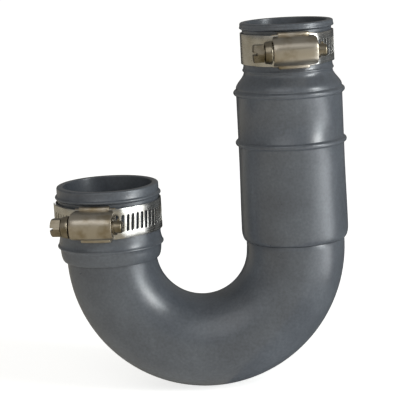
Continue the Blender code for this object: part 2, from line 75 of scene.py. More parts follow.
# settings hold a property or an input's value, and links an input fed by (node, output)
def addNode(tree, kind, settings=None, links=None):
    node = tree.nodes.new(kind)
    for key, value in (settings or {}).items():
        if isinstance(key, str) and hasattr(node, key):
            setattr(node, key, value)
        else:
            node.inputs[key].default_value = value
    for key, (source, output) in (links or {}).items():
        tree.links.new(source.outputs[output], node.inputs[key])
    return node


def newMaterial(name):
    material = bpy.data.materials.new(name)
    material.use_nodes = True
    tree = material.node_tree
    return material, tree, tree.nodes["Principled BSDF"]


def perMetre(millimetres):
    return 1000.0 / millimetres  # a texture's scale for a feature this long


pvcLook = {
    "deep": "#494D53",
    "pale": "#565B61",
    "dust": "#6E7277",
    "cloudSize": 22,  # sizes in mm
    "scuffSize": 3.5,
    "scuffStretch": 0.22,  # the scuffs run up and down
    "scuffMost": 0.22,
    "pebbleSize": 1.2,  # the mould's grain is really about 0.3 mm, too fine to show
    "pebbleShade": 0.14,
    "flowSize": 9,
    "smoothest": 0.27,
    "roughest": 0.37,
    "reliefDepth": 0.00022,
}


def mouldedPvc(look):
    # plasticised PVC, injection moulded: a satin skin with a broad soft highlight, faint flow marks
    # and a fine pebble from the mould's wall, a little dusty where it has been handled
    material, tree, shader = newMaterial("plasticisedPvcMoulded")
    coordinates = addNode(tree, "ShaderNodeTexCoord")
    place = {"Vector": (coordinates, "Object")}
    cloud = addNode(
        tree,
        "ShaderNodeTexNoise",
        {"Scale": perMetre(look["cloudSize"]), "Detail": 3.0, "Roughness": 0.55},
        place,
    )
    colour = addNode(tree, "ShaderNodeValToRGB", links={"Fac": (cloud, "Fac")})
    deep, pale = colour.color_ramp.elements
    deep.position, deep.color = 0.30, linearColour(look["deep"])
    pale.position, pale.color = 0.72, linearColour(look["pale"])

    stretched = addNode(
        tree, "ShaderNodeMapping", {"Scale": (1.0, 1.0, look["scuffStretch"])}, place
    )
    scuff = addNode(
        tree,
        "ShaderNodeTexNoise",
        {"Scale": perMetre(look["scuffSize"]), "Detail": 5.0, "Roughness": 0.7},
        {"Vector": (stretched, "Vector")},
    )
    scuffMask = addNode(
        tree,
        "ShaderNodeMapRange",
        {"From Min": 0.60, "From Max": 0.78, "To Min": 0.0, "To Max": look["scuffMost"]},
        {"Value": (scuff, "Fac")},
    )
    dusty = addNode(
        tree,
        "ShaderNodeMix",
        {"data_type": "RGBA", 7: linearColour(look["dust"])},
        {0: (scuffMask, "Result"), 6: (colour, "Color")},
    )

    pebble = addNode(
        tree, "ShaderNodeTexNoise", {"Scale": perMetre(look["pebbleSize"]), "Detail": 2.0}, place
    )
    darkest, lightest = 1 - look["pebbleShade"], 1 + look["pebbleShade"]
    mottle = addNode(
        tree,
        "ShaderNodeMapRange",
        {"From Min": 0.3, "From Max": 0.7, "To Min": darkest, "To Max": lightest},
        {"Value": (pebble, "Fac")},
    )
    mottled = addNode(
        tree,
        "ShaderNodeMix",
        {"data_type": "RGBA", "blend_type": "MULTIPLY", 0: 1.0},
        {6: (dusty, 2), 7: (mottle, "Result")},
    )
    tree.links.new(mottled.outputs[2], shader.inputs["Base Color"])

    rough = addNode(
        tree,
        "ShaderNodeMapRange",
        {"From Min": 0.3, "From Max": 0.7, "To Min": look["smoothest"], "To Max": look["roughest"]},
        {"Value": (cloud, "Fac")},
    )
    tree.links.new(rough.outputs["Result"], shader.inputs["Roughness"])

    flow = addNode(
        tree, "ShaderNodeTexNoise", {"Scale": perMetre(look["flowSize"]), "Detail": 1.0}, place
    )
    relief = addNode(
        tree,
        "ShaderNodeMix",
        {"data_type": "FLOAT", 0: 0.55},
        {2: (pebble, "Fac"), 3: (flow, "Fac")},
    )
    bump = addNode(
        tree,
        "ShaderNodeBump",
        {"Strength": 0.30, "Distance": look["reliefDepth"]},
        {"Height": (relief, 0)},
    )
    tree.links.new(bump.outputs["Normal"], shader.inputs["Normal"])
    shader.inputs["IOR"].default_value = 1.53
    shader.inputs["Specular IOR Level"].default_value = 0.75  # plasticiser at the skin adds gloss
    return material


# rolling lines are really about 0.1 mm apart, too fine to show, so they are drawn wider
bandLook = {
    "tint": "#D2D1CD",
    "stain": "#C0BDB5",
    "smoothest": 0.22,
    "roughest": 0.32,
    "lineSpacing": 0.45,  # in mm
    "lineDepth": 0.00001,
}
housingLook = {
    "tint": "#C6BEB0",
    "stain": "#9D8F76",
    "smoothest": 0.30,
    "roughest": 0.42,
    "lineSpacing": 0.8,
    "lineDepth": 0.00002,
}
screwLook = {
    "tint": "#9C9382",
    "stain": "#70664F",
    "smoothest": 0.24,
    "roughest": 0.38,
    "lineSpacing": 0.6,
    "lineDepth": 0.00003,
}


def stainlessSteel(name, look):
    # austenitic stainless steel, cold worked: bright, with fine lines round the strip and a thin
    # straw-coloured film in patches where it has been handled
    material, tree, shader = newMaterial(name)
    coordinates = addNode(tree, "ShaderNodeTexCoord")
    along, across = perMetre(14), perMetre(look["lineSpacing"])
    lines = addNode(
        tree,
        "ShaderNodeMapping",
        {"Scale": (along, along, across)},
        {"Vector": (coordinates, "Object")},
    )
    grain = addNode(
        tree,
        "ShaderNodeTexNoise",
        {"Scale": 1.0, "Detail": 4.0, "Roughness": 0.65},
        {"Vector": (lines, "Vector")},
    )
    stain = addNode(
        tree,
        "ShaderNodeTexNoise",
        {"Scale": perMetre(7), "Detail": 3.0},
        {"Vector": (coordinates, "Object")},
    )
    stainMask = addNode(
        tree,
        "ShaderNodeMapRange",
        {"From Min": 0.42, "From Max": 0.68},
        {"Value": (stain, "Fac")},
    )
    colour = addNode(
        tree,
        "ShaderNodeMix",
        {"data_type": "RGBA", 6: linearColour(look["tint"]), 7: linearColour(look["stain"])},
        {0: (stainMask, "Result")},
    )
    tree.links.new(colour.outputs[2], shader.inputs["Base Color"])
    rough = addNode(
        tree,
        "ShaderNodeMapRange",
        {"From Min": 0.3, "From Max": 0.7, "To Min": look["smoothest"], "To Max": look["roughest"]},
        {"Value": (grain, "Fac")},
    )
    tree.links.new(rough.outputs["Result"], shader.inputs["Roughness"])
    bump = addNode(
        tree,
        "ShaderNodeBump",
        {"Strength": 0.25, "Distance": look["lineDepth"]},
        {"Height": (grain, "Fac")},
    )
    tree.links.new(bump.outputs["Normal"], shader.inputs["Normal"])
    shader.inputs["Metallic"].default_value = 1.0
    return material


print("materials")
softPvc = mouldedPvc(pvcLook)
bandSteel = stainlessSteel("stainlessStripRolled", bandLook)
housingSteel = stainlessSteel("stainlessSheetPressed", housingLook)
screwSteel = stainlessSteel("stainlessBarHeaded", screwLook)


def arc(centre, halfSizes, start, end, steps):
    points = []
    for i in range(steps + 1):
        angle = math.radians(start + (end - start) * i / steps)
        across = centre[0] + halfSizes[0] * math.cos(angle)
        points.append((across, centre[1] + halfSizes[1] * math.sin(angle)))
    return points


def ease(share):
    share = min(1.0, max(0.0, share))
    return share * share * (3 - 2 * share)


def meshObject(name, bm):
    mesh = bpy.data.meshes.new(name)
    bm.to_mesh(mesh)
    bm.free()
    made = bpy.data.objects.new(name, mesh)
    bpy.context.scene.collection.objects.link(made)
    return made


def finishPiece(bm, name, material, body, replaced):
    piece = meshObject(name, bm)
    piece.data.materials.append(material)
    piece.data.shade_smooth()
    piece.data.set_sharp_from_angle(angle=math.radians(40))
    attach(piece, body)
    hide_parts(replaced)
    return piece


def sheetFinish(piece, thickness, edgeRound, offset=0.0):
    solidify = piece.modifiers.new("sheet", "SOLIDIFY")
    solidify.thickness = thickness
    solidify.offset = offset
    solidify.use_even_offset = True
    rounded = piece.modifiers.new("edges", "BEVEL")
    rounded.width = edgeRound
    rounded.segments = 2
    rounded.limit_method = "ANGLE"
    rounded.angle_limit = math.radians(50)


# turns a closed outline of (radius, along) points round the Z axis, or round X
def turned(outline, steps, axis=(0, 0, 1)):
    bm = bmesh.new()
    aboutZ = axis[2] == 1
    corners = [bm.verts.new((r, 0, a) if aboutZ else (a, 0, r)) for r, a in outline]
    edges = [bm.edges.new((corners[i - 1], corners[i])) for i in range(len(corners))]
    bmesh.ops.spin(
        bm,
        geom=corners + edges,
        cent=(0, 0, 0),
        axis=axis,
        angle=math.tau,
        steps=steps,
        use_merge=True,
    )
    bmesh.ops.remove_doubles(bm, verts=bm.verts, dist=1e-6)
    bmesh.ops.recalc_face_normals(bm, faces=bm.faces)
    return bm


# each leg ends in a soft neck with a lip and two beads, and its clamp sits between the beads
inletMouth = {
    "bore": 0.01905,
    "wall": 0.00195,
    "rimProud": 0.0010,
    "rimToBead": 0.0025,
    "beadProud": 0.0012,
    "beadHalf": 0.0006,
    "lowerExtra": 0.0009,
    "lowerProud": 0.0006,
    "lowerHalf": 0.0006,
    "lowerSlope": 0.0012,  # how far above the lower bead the neck starts to swell
}
outletMouth = {
    "bore": 0.0212,
    "wall": 0.0030,
    "rimProud": 0.00015,
    "rimToBead": 0.0050,
    "beadProud": 0.0011,
    "beadHalf": 0.0008,
    "lowerExtra": 0.0042,
    "lowerProud": 0.0012,
    "lowerHalf": 0.0009,
    "lowerSlope": 0.0030,
}
lip = {
    "insideRound": 0.0005,
    "outsideRound": 0.0008,
    "fillet": 0.0003,
    "clampRoom": 0.0004,  # between a clamp's tabs and the bead on either side
}


def neckRadius(mouth):
    return mouth["bore"] + mouth["wall"]


# how far below the mouth the band's upper edge and the lower bead's middle are
def bandTop(mouth):
    return mouth["rimToBead"] + mouth["beadHalf"] + lip["clampRoom"] + tabReach


def lowerBead(mouth):
    clear = tabReach + lip["clampRoom"] + mouth["lowerExtra"]
    return bandTop(mouth) + band["width"] + clear + mouth["lowerHalf"]


def mouthOutline(mouth, topZ):
    rim = neckRadius(mouth) + mouth["rimProud"]
    neck = neckRadius(mouth)
    beadZ = topZ - mouth["rimToBead"]
    lowerZ = topZ - lowerBead(mouth)
    inside, outside = lip["insideRound"], lip["outsideRound"]
    points = arc((mouth["bore"] + inside, topZ - inside), (-inside, inside), 0, 90, 5)
    points += arc((rim - outside, topZ - outside), (outside, outside), 90, 0, 6)
    proud = mouth["beadProud"] - mouth["rimProud"]
    points += [(rim, beadZ + mouth["beadHalf"] + lip["fillet"])]
    points += arc((rim, beadZ), (proud, mouth["beadHalf"]), 75, 0, 5)
    points += arc((neck, beadZ), (mouth["beadProud"], mouth["beadHalf"]), -15, -75, 5)
    points += [(neck, beadZ - mouth["beadHalf"] - lip["fillet"])]
    swellZ = lowerZ + mouth["lowerHalf"]
    points += [(neck, swellZ + mouth["lowerSlope"])]
    points += [(neck + 0.35 * mouth["lowerProud"], swellZ + 0.3 * mouth["lowerSlope"])]
    points += arc((neck, lowerZ), (mouth["lowerProud"], mouth["lowerHalf"]), 48, -75, 9)
    return points


sleeve = {
    "step": 0.00305,  # its bore is this much wider than the neck's
    "wall": 0.0030,
    "flare": 0.0004,
    "flareHeight": 0.0360,
    "flareSteps": 8,
    "shoulderGap": 0.0004,  # from the lower bead to the shoulder
    "shoulderHeight": 0.0076,
    "shoulderSteps": 18,
    "shoulderLead": 0.0001,  # the neck runs straight for this long before the shoulder
    "ringProud": 0.0013,
    "ringHalf": 0.0013,
    "ringFillet": 0.0004,
    "ringDrops": (0.0329, 0.0567),
    "footRoundHeight": 0.0052,
    "footRoundDepth": 0.0019,
    "footChamfer": 0.0004,
    "footRise": 0.0033,
    "turnSteps": 128,
}
sleeveBore = inletMouth["bore"] + sleeve["step"]
sleeveRadius = sleeveBore + sleeve["wall"]
sleeveFootZ = bendZ + sleeve["footRise"]


def sleeveOutline():
    neck = neckRadius(inletMouth)
    shoulderTop = -lowerBead(inletMouth) - inletMouth["lowerHalf"] - sleeve["shoulderGap"]
    shoulderFoot = shoulderTop - sleeve["shoulderHeight"]
    footRadius = sleeveRadius + sleeve["flare"]
    roundTop = sleeveFootZ + sleeve["footRoundHeight"]
    outline = mouthOutline(inletMouth, 0.0) + [(neck, shoulderTop + sleeve["shoulderLead"])]
    across = sleeveRadius - neck
    for i in range(1, sleeve["shoulderSteps"] + 1):
        share = i / sleeve["shoulderSteps"]
        outline += [(neck + across * ease(share), shoulderTop - sleeve["shoulderHeight"] * share)]
    half = sleeve["ringHalf"]
    for drop in sleeve["ringDrops"]:
        outline += [(sleeveRadius, -drop + half + sleeve["ringFillet"])]
        outline += arc((sleeveRadius, -drop), (sleeve["ringProud"], half), 75, -75, 10)
        outline += [(sleeveRadius, -drop - half - sleeve["ringFillet"])]
    for i in range(1, sleeve["flareSteps"] + 1):
        share = i / sleeve["flareSteps"]
        height = roundTop + sleeve["flareHeight"] * (1 - share)
        outline += [(sleeveRadius + sleeve["flare"] * ease(share), height)]
    foot = (footRadius - sleeve["footRoundDepth"], roundTop)
    outline += arc(foot, (sleeve["footRoundDepth"], sleeve["footRoundHeight"]), -8, -86, 10)
    chamfer = sleeve["footChamfer"]
    outline += [(sleeveBore + chamfer, sleeveFootZ), (sleeveBore, sleeveFootZ + chamfer)]
    outline += [(sleeveBore, shoulderFoot)]
    inside = (inletMouth["bore"], shoulderFoot)
    outline += arc(inside, (sleeve["step"], sleeve["shoulderHeight"]), 12, 90, 8)
    return outline


bend = {
    "dip": 0.0451,  # how far its centre line dips below its two ends
    "inletStep": 0.0014,
    "outletStep": 0.0002,
    "wall": 0.0035,
    "spigotLength": 0.0170,
    "steps": 72,
    "around": 120,
    "seamProud": 0.00012,  # the mould's parting line, inside and outside the bend
    "endRound": 0.0006,
    "stepGap": 0.00008,  # the sleeve's foot rests on the bend's step
}
bendInletRadius = sleeveBore + bend["inletStep"]
bendOutletRadius = outletMouth["bore"] + bend["outletStep"]


def stationPlace(centre, tilt, radius):
    return Matrix.Translation(centre) @ Matrix.Rotation(tilt, 4, "Y") @ Matrix.Scale(radius, 4)


# a station is a ring's middle, its tilt and its radius
def leg(x, height, radius):
    return (Vector((x, 0, height)), 0.0 if x == 0 else math.pi, radius)


def bendCurve(inset):
    stations = []
    for i in range(bend["steps"] + 1):
        share = i / bend["steps"]
        angle = math.pi * share
        height = bendZ - bend["dip"] * math.sin(angle)
        place = Vector((bendRadius * (math.cos(angle) - 1), 0, height))
        tilt = math.atan2(bendRadius * math.sin(angle), bend["dip"] * math.cos(angle))
        radius = bendInletRadius + (bendOutletRadius - bendInletRadius) * share
        stations.append((place, tilt, radius - inset))
    return stations


def makeBend():
    spigotRadius = sleeveBore - trap["gap"]
    stepZ = sleeveFootZ - bend["stepGap"]
    spigotZ = stepZ + bend["spigotLength"]
    endZ = collarFootZ + collar["overlap"]
    wall, rounding = bend["wall"], bend["endRound"]
    corner = 0.3 * rounding  # the rounded step's middle point is this far in from the square corner
    far = -trap["legSpacing"]
    outside = [leg(0, spigotZ, spigotRadius - rounding), leg(0, spigotZ - rounding, spigotRadius)]
    outside += [leg(0, stepZ + rounding, spigotRadius), leg(0, stepZ, spigotRadius + rounding / 2)]
    outside += [leg(0, stepZ, bendInletRadius - rounding)]
    outside += [leg(0, stepZ - corner, bendInletRadius - corner)]
    outside += [leg(0, stepZ - rounding, bendInletRadius)]
    curve = bendCurve(0.0)
    outside += curve + [leg(far, endZ - rounding, bendOutletRadius)]
    outside += [leg(far, endZ, bendOutletRadius - rounding)]
    inside = [leg(0, spigotZ, bendInletRadius - wall + rounding)]
    inside += [leg(0, spigotZ - rounding, bendInletRadius - wall)]
    inside += bendCurve(wall) + [leg(far, endZ - rounding, bendOutletRadius - wall)]
    inside += [leg(far, endZ, bendOutletRadius - wall + rounding)]
    stations = outside + inside[::-1]
    firstCurved = outside.index(curve[0])

    bm = bmesh.new()
    bmesh.ops.create_circle(bm, segments=bend["around"], radius=1.0)
    verts, edges = bm.verts[:], bm.edges[:]
    place = stationPlace(*stations[0])
    bmesh.ops.transform(bm, matrix=place, verts=verts)
    ridge = []  # (vertex, the middle of its ring) along the parting line
    nearMiddle = 0.0002  # closer to the middle plane than the ring's next vertices
    for i, station in enumerate(stations[1:] + stations[:1], start=1):
        grown = bmesh.ops.extrude_edge_only(bm, edges=edges)["geom"]
        verts = [part for part in grown if isinstance(part, bmesh.types.BMVert)]
        edges = [part for part in grown if isinstance(part, bmesh.types.BMEdge)]
        edges = [edge for edge in edges if set(edge.verts) <= set(verts)]
        bmesh.ops.transform(bm, matrix=stationPlace(*station) @ place.inverted(), verts=verts)
        place = stationPlace(*station)
        if firstCurved < i < firstCurved + bend["steps"]:
            ridge += [(vert, station[0]) for vert in verts if abs(vert.co.y) < nearMiddle]
    lowest = min(vert.co.z for vert in bm.verts)  # the line is worn flush where the trap stands
    for vert, middle in ridge:
        vert.co += (vert.co - middle).normalized() * bend["seamProud"]
        vert.co.z = max(vert.co.z, lowest)
    bmesh.ops.remove_doubles(bm, verts=bm.verts, dist=1e-5)
    bmesh.ops.recalc_face_normals(bm, faces=bm.faces)
    return bm


collar = {
    "footDrop": 0.0019,
    "footWall": 0.0005,
    "footChamfer": 0.0003,
    "overlap": 0.0116,
    "socketEase": 0.0003,
    "roundGap": 0.0004,  # from the lower bead to where the collar starts to round in
}
collarFootZ = bendZ - collar["footDrop"]
collarSocket = bendOutletRadius + trap["gap"] + collar["socketEase"]


def collarOutline():
    lowerFoot = outletMouthZ - lowerBead(outletMouth) - outletMouth["lowerHalf"]
    footRadius = collarSocket + collar["footWall"]
    stopZ = collarFootZ + collar["overlap"] + trap["gap"]
    roundTop = lowerFoot - collar["roundGap"]
    across = neckRadius(outletMouth) - footRadius
    chamfer = collar["footChamfer"]
    outline = mouthOutline(outletMouth, outletMouthZ)
    outline += arc((footRadius, roundTop), (across, roundTop - collarFootZ), -4, -86, 12)
    outline += [(footRadius - chamfer, collarFootZ), (collarSocket, collarFootZ + chamfer)]
    outline += [(collarSocket, stopZ), (outletMouth["bore"], stopZ)]
    return outline


def addSoftPieces():
    print("soft pieces")
    finishPiece(makeBend(), "softBend", softPvc, "trap", "trap_bend")
    bm = turned(sleeveOutline(), sleeve["turnSteps"])
    finishPiece(bm, "softSleeve", softPvc, "trap", "inlet_sleeve")
    bm = turned(collarOutline(), sleeve["turnSteps"])
    bmesh.ops.translate(bm, vec=(-trap["legSpacing"], 0, 0), verts=bm.verts)
    finishPiece(bm, "softCollar", softPvc, "trap", "outlet_collar")


# clamps are bent from sheet: a level is how far a layer is outside the loop's inner face
def onCircle(radius, angle, height):
    turn = math.radians(angle)
    return Vector((radius * math.sin(turn), -radius * math.cos(turn), height))


def angleOf(length, radius):
    return math.degrees(length / radius)


def spread(start, end, step):
    count = max(1, math.ceil(abs(end - start) / step))
    return [start + (end - start) * i / count for i in range(count + 1)]


# a flat grid whose corners go where place(column, row) says, less the faces that isOpen names
def wrapSheet(columns, rows, place, isOpen):
    bm = bmesh.new()
    across, up = len(columns) - 1, len(rows) - 1
    bmesh.ops.create_grid(bm, x_segments=across, y_segments=up, size=1.0)
    opened = []
    for face in bm.faces:
        middle = face.calc_center_median()
        cell = (math.floor((middle.x + 1) / 2 * across), math.floor((middle.y + 1) / 2 * up))
        if isOpen(*cell):
            opened.append(face)
    for vert in bm.verts:
        column, row = round((vert.co.x + 1) / 2 * across), round((vert.co.y + 1) / 2 * up)
        vert.co = place(column, row)
    bmesh.ops.delete(bm, geom=opened, context="FACES")
    loose = [vert for vert in bm.verts if not vert.link_faces]
    bmesh.ops.delete(bm, geom=loose, context="VERTS")
    bmesh.ops.recalc_face_normals(bm, faces=bm.faces)
    return bm


band = {
    "width": 0.0143,
    "thickness": 0.0006,
    "thicknessAtSlots": 0.0004,  # the slots' edges are coined thinner
    "offset": 0.5,  # keeps the outer face where the full thickness puts it
    "gap": 0.00042,
    "pitch": 0.00285,
    "slotOpening": 0.0014,
    "slotHeight": 0.0080,
    "slotLean": 0.00035,  # the slots lean with the worm's helix
    "slotEnd": 0.00045,  # the last stretch of a slot, which is narrower
    "slotNarrow": 0.00032,
    "slotMargin": 0.0007,
    "loopSlots": 26,
    "turnStep": 2.5,
    "saddleClear": 1.5,  # degrees past the saddle's end where the band starts to change level
    "ramp": 16.0,
    "entryLead": 6.0,  # the ramp back up into the housing is longer by this
    "tongueGap": 0.00025,  # between the narrow tongue and the saddle's walls
    "tongueRamp": 5.0,
    "tipLength": 0.25,  # the rounded tip's length and least width, as shares of the width
    "tipWidth": 0.6,
    "edgeRound": 0.00007,
}


# slots are the columns that a slot opens, and a slot's ends are rounded by narrowing its last rows
def makeStrip(angles, slots, radiusAt, halfWidthAt):
    high = band["slotHeight"] / 2
    low, plain, edge = high - band["slotEnd"], high + band["slotMargin"], band["width"] / 2
    heights = [-edge, -plain, -high, -low, low, high, plain, edge]
    outerRows, slotRows, slotEndRows = (0, 7), (2, 3, 4, 5), (2, 5)

    def place(column, row):
        angle = angles[column]
        radius = radiusAt(angle)
        height = heights[row]
        if row in outerRows:
            height = math.copysign(halfWidthAt(angle), height)
        shift = 0.0
        if row in slotRows and (column in slots or column - 1 in slots):
            shift = band["slotLean"] * height / high
            if row in slotEndRows:
                shift += -band["slotNarrow"] if column in slots else band["slotNarrow"]
        return onCircle(radius, angle + angleOf(shift, radius), height)

    def isOpen(column, row):
        return column in slots and row in slotRows[:-1]

    return wrapSheet(angles, heights, place, isOpen)


def slotted(start, slotStart, count, radius):
    pitch, opening = angleOf(band["pitch"], radius), angleOf(band["slotOpening"], radius)
    angles = spread(start, slotStart, band["turnStep"])
    slots = set()
    for i in range(count):
        slots.add(len(angles) - 1)
        begin = slotStart - i * pitch
        angles += [begin - opening, begin - (opening + pitch) / 2, begin - pitch]
    return angles, slots


def makeBand(base):
    middle = base + band["thickness"] / 2
    saddleEnd = angleOf(saddle["length"] / 2, base) + band["saddleClear"]
    tongueRise = tongueLevel - band["thickness"] / 2
    entryRise = tailLevel - band["thickness"] / 2
    entryStart = saddleEnd + band["ramp"] + band["entryLead"]
    radius = base + tailLevel
    halfAngle = angleOf(housing["length"] / 2 - housing["cutInside"], radius)
    pitch = angleOf(band["pitch"], radius)
    cut = halfAngle - 360
    slotStart = cut + 0.5 * pitch + band["loopSlots"] * pitch
    angles, slots = slotted(halfAngle, slotStart, band["loopSlots"], radius)
    angles.append(cut)
    tongue = saddleWallZ - saddle["sheet"] / 2 - band["tongueGap"]

    def radiusAt(angle):
        if angle > -180:
            return middle + tongueRise * (1 - ease((-angle - saddleEnd) / band["ramp"]))
        back = angle + 360
        return middle + entryRise * ease((entryStart - back) / (entryStart - saddleEnd))

    def halfWidthAt(angle):
        widened = ease((-angle - saddleEnd) / band["tongueRamp"])
        return tongue + (band["width"] / 2 - tongue) * widened

    return makeStrip(angles, slots, radiusAt, halfWidthAt)


def makeTail(base, reach):
    saddleEnd = angleOf(saddle["length"] / 2, base) + band["saddleClear"]
    radius = base + tailLevel
    pitch = angleOf(band["pitch"], radius)
    backlash = angleOf(band["pitch"] + trap["gap"], radius)
    start = angleOf(housing["length"] / 2 - housing["cutInside"], radius) - backlash
    dropStart = saddleEnd + backlash + 1.0
    drop = tailLevel - band["thickness"] * 1.5 - housing["layerGap"]
    tip = angleOf(band["width"] * band["tipLength"], radius)
    count = int((reach - 2 * tip + start) / pitch)
    angles, slots = slotted(start, start - 0.3 * pitch, count, radius)
    angles += [-reach + tip * share for share in (1.0, 0.8, 0.6, 0.4, 0.25, 0.12, 0.0)]

    def radiusAt(angle):
        return radius - drop * ease((-angle - dropStart) / band["ramp"])

    def halfWidthAt(angle):
        share = max(0.0, 1 - (angle + reach) / tip)
        rounding = math.sqrt(max(0.0, 1 - share**2))
        return band["width"] / 2 * (band["tipWidth"] + (1 - band["tipWidth"]) * rounding)

    return makeStrip(angles, slots, radiusAt, halfWidthAt)


saddle = {
    "sheet": 0.0006,
    "length": 0.0190,
    "flange": 0.0011,
    "bendRound": 0.0002,
    "turnStep": 3.0,
    "edgeRound": 0.00012,
}


def makeSaddle(base):
    half = angleOf(saddle["length"] / 2, base)
    wallZ, edge, rounding = saddleWallZ, saddleWallZ + saddle["flange"], saddle["bendRound"]
    low, high = saddle["sheet"] / 2, 1.5 * saddle["sheet"] + housing["layerGap"]
    side = [(edge, high), (wallZ + rounding, high), (wallZ, high - rounding)]
    side += [(wallZ, low + rounding), (wallZ - rounding, low)]
    rows = side + [(-z, level) for z, level in side[::-1]]
    columns = spread(-half, half, saddle["turnStep"])

    def place(column, row):
        return onCircle(base + rows[row][1], columns[column], rows[row][0])

    return wrapSheet(columns, rows, place, lambda column, row: False)


housing = {
    "sheet": 0.0007,
    "length": 0.0203,
    "tabLength": 0.0142,
    "tabSideGap": 0.00065,
    "lipRound": 0.0006,
    "tabRound": 0.0008,
    "archFullness": 0.72,  # 1 is half an ellipse, and less is squarer
    "archSideRoom": 0.0023,
    "archSteps": 30,
    "layerGap": 0.0003,
    "crownGap": 0.0006,
    "crownDroop": 0.00035,  # at the arch's two open ends
    "droopLength": 0.002,
    "footFlare": 0.0005,
    "flareAngle": 24,
    "cornerCut": 0.0013,
    "cutInside": 0.0035,
    "tabStep": 0.0014,  # the mesh's spacing along the tabs, and past them
    "endStep": 0.0012,
    "edgeRound": 0.00018,
}


def makeHousing(base):
    wallZ = band["width"] / 2 + housing["tabSideGap"] + housing["sheet"] / 2
    lipZ = saddleWallZ + saddle["sheet"] / 2 + trap["gap"]
    lipLevel = saddle["sheet"] - housing["sheet"] / 2
    small, large = housing["lipRound"], housing["tabRound"]
    tabSide = [(lipZ, lipLevel)]
    tabSide += arc((wallZ - small, lipLevel + small), (small, small), -90, 0, 4)
    tabSide += arc((wallZ - large, flangeLevel - large), (large, large), 0, 90, 5)
    tab = [(z, level, 0.0) for z, level in tabSide]
    rows = list(tab)
    archSteps, fullness = housing["archSteps"], housing["archFullness"]
    for i in range(archSteps + 1):
        turn = math.pi * i / archSteps
        side = min(i, archSteps - i) / archSteps * 180
        flare = housing["footFlare"] * max(0.0, 1 - side / housing["flareAngle"]) ** 2
        across, lift = math.cos(turn), max(0.0, math.sin(turn))
        height = math.copysign(abs(across) ** fullness * archHalf + flare, across)
        rows.append((height, flangeLevel, lift**fullness))
    rows += [(-z, level, lift) for z, level, lift in tab[::-1]]
    half, tabHalf = housing["length"] / 2, housing["tabLength"] / 2
    columns = spread(-half, -tabHalf, housing["endStep"])
    columns += spread(-tabHalf, tabHalf, housing["tabStep"])[1:]
    columns += spread(tabHalf, half, housing["endStep"])[1:]
    droopStart = half - housing["droopLength"]

    def place(column, row):
        along = columns[column]
        height, level, lift = rows[row]
        if abs(along) > tabHalf and len(tab) <= row < len(rows) - len(tab):
            share = (abs(along) - tabHalf) / (half - tabHalf)
            cut = share * housing["cornerCut"] * (1 - min(1.0, lift * 1.5)) ** 2
            along -= math.copysign(cut, along)
        foot = math.sqrt((base + level) ** 2 - along**2)
        droop = housing["crownDroop"] * ease((abs(along) - droopStart) / housing["droopLength"])
        crown = base + crownLevel - droop
        return Vector((along, -(foot + (crown - foot) * lift), height))

    def isOpen(column, row):
        middle = (columns[column] + columns[column + 1]) / 2
        return abs(middle) > tabHalf and (row < len(tab) or row >= len(rows) - 1 - len(tab))

    return wrapSheet(columns, rows, place, isOpen)


screw = {
    "wormRadius": 0.0038,
    "rootRadius": 0.0029,
    "wormGap": 0.00035,
    "crest": 0.0007,
    "base": 0.0014,
    "sunk": 0.0004,  # how deep the thread's foot is in the root
    "hexFlats": 0.00794,
    "hexLength": 0.0047,
    "faceInset": 0.0001,
    "faceChamfer": 0.0008,
    "footChamfer": 0.0004,
    "cornerRoom": 0.0003,  # the chamfers start this far outside the hexagon's corners
    "slotWidth": 0.0012,
    "slotDepth": 0.0016,
    "neckLength": 0.0004,
    "neckRadius": 0.0033,
    "collarRadius": 0.0053,
    "collarLength": 0.0034,
    "collarGap": 0.0006,
    "collarTaper": 0.0005,
    "collarChamfer": (0.0006, 0.0002),
    "collarLead": 0.0001,
    "collarRound": 0.0004,
    "tipReach": 0.0043,
    "tipRound": 0.0008,
    "threadPast": 0.0031,
    "turnSteps": 48,
    "threadSteps": 24,
}


def helperObject(name, bm):
    bmesh.ops.recalc_face_normals(bm, faces=bm.faces)
    return meshObject(name, bm)


# the core with each (helper, operation) applied to it as a Boolean, as a new bmesh
def joined(core, others):
    for helper, operation in others:
        boolean = core.modifiers.new(helper.name, "BOOLEAN")
        boolean.operation = operation
        boolean.solver = "EXACT"
        boolean.object = helper
    bpy.context.view_layer.update()
    evaluated = core.evaluated_get(bpy.context.evaluated_depsgraph_get())
    bm = bmesh.new()
    bm.from_mesh(evaluated.to_mesh())
    bmesh.ops.remove_doubles(bm, verts=bm.verts, dist=1e-6)  # the solver leaves some corners twice
    for helper in [core] + [helper for helper, operation in others]:
        bpy.data.objects.remove(helper)
    return bm


# the screw lies along X with its head towards -X
def screwShank(headFoot, collarStart, collarEnd, tip):
    neckEnd = headFoot - screw["hexLength"] / 3
    shank = [(0.0, neckEnd), (screw["neckRadius"], neckEnd), (screw["neckRadius"], collarStart)]
    rim = screw["collarRadius"]
    narrow = rim - screw["collarTaper"]
    inward, along = screw["collarChamfer"]
    shank += [(narrow - inward, collarStart), (narrow, collarStart + along)]
    shank += [(rim - screw["collarLead"], collarEnd - screw["collarLength"] / 3)]
    rounding = screw["collarRound"]
    shank += arc((rim - rounding, collarEnd - rounding), (rounding, rounding), 0, 90, 4)
    root, rounding = screw["rootRadius"], screw["tipRound"]
    shank += [(root, collarEnd)]
    shank += arc((root - rounding, tip - rounding), (rounding, rounding), 0, 90, 6)
    shank += [(0.0, tip)]
    return helperObject("shank", turned(shank, screw["turnSteps"], axis=(1, 0, 0)))


